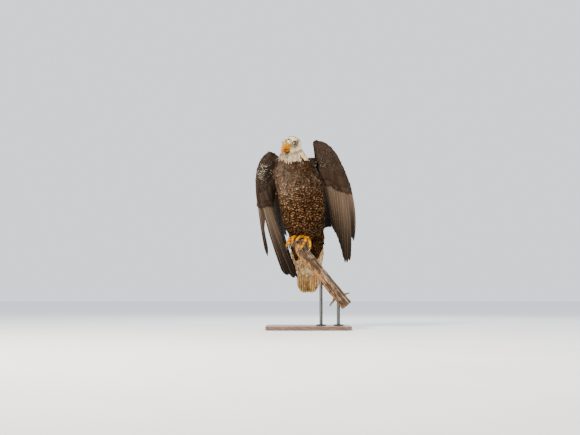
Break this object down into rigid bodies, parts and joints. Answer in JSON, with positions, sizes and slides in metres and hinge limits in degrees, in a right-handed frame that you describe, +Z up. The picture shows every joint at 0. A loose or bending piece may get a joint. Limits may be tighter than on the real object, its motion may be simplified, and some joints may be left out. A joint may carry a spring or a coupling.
{
  "type": "life-size bald eagle model on a branch perch and display stand",
  "caption": "Still museum-style model of a bald eagle perched upright on a broken branch with drooped, half-open wings, held by rods on a flat base.",
  "frame": {"origin": "centre of the underside of the stand's base plate", "axes": "+Z up from the floor, the bird's breast faces -Y, its left side is +X and its right side is -X, its head is turned 31 degrees towards its right"},
  "size_m": [0.5003, 0.3999, 0.9543],
  "materials": {
    "brown_plumage": "matte dark-brown feathers with paler tan edges",
    "white_plumage": "matte off-white feathers",
    "flight_feathers": "smooth grey-brown vanes with pale shafts",
    "tail_feathers": "smooth cream-white vanes with small dark marks",
    "yellow_horn": "satin golden-yellow horn",
    "yellow_skin": "satin scaled yellow skin",
    "eye": "clear glossy eye with pale-yellow iris and black pupil",
    "claw": "glossy blue-black horn",
    "bark": "rough weathered grey-brown bark with peeled tan wood",
    "base_wood": "satin dark walnut",
    "rod_steel": "satin black steel"
  },
  "bodies": {
    "root": {"trunk": "brown_plumage", "head": "white_plumage", "cere": "yellow_horn", "bill_upper": "yellow_horn", "bill_lower": "yellow_horn", "eye_left": "eye", "eye_right": "eye", "neck": "white_plumage", "wing_left_arm": "brown_plumage", "wing_left_hand": "brown_plumage", "wing_left_primaries": "flight_feathers", "wing_left_secondaries": "flight_feathers", "wing_right_arm": "brown_plumage", "wing_right_hand": "brown_plumage", "wing_right_primaries": "flight_feathers", "wing_right_secondaries": "flight_feathers", "tail_coverts": "white_plumage", "tail": "tail_feathers", "leg_left_thigh": "brown_plumage", "leg_left_foot": "yellow_skin", "leg_left_shank": "yellow_skin", "leg_left_claw_inner": "claw", "leg_left_claw_middle": "claw", "leg_left_claw_outer": "claw", "leg_left_claw_hind": "claw", "leg_right_thigh": "brown_plumage", "leg_right_foot": "yellow_skin", "leg_right_shank": "yellow_skin", "leg_right_claw_inner": "claw", "leg_right_claw_middle": "claw", "leg_right_claw_outer": "claw", "leg_right_claw_hind": "claw", "branch": "bark", "stand_base": "base_wood", "stand_rod_upper": "rod_steel", "stand_rod_lower": "rod_steel"}
  },
  "joints": []
}
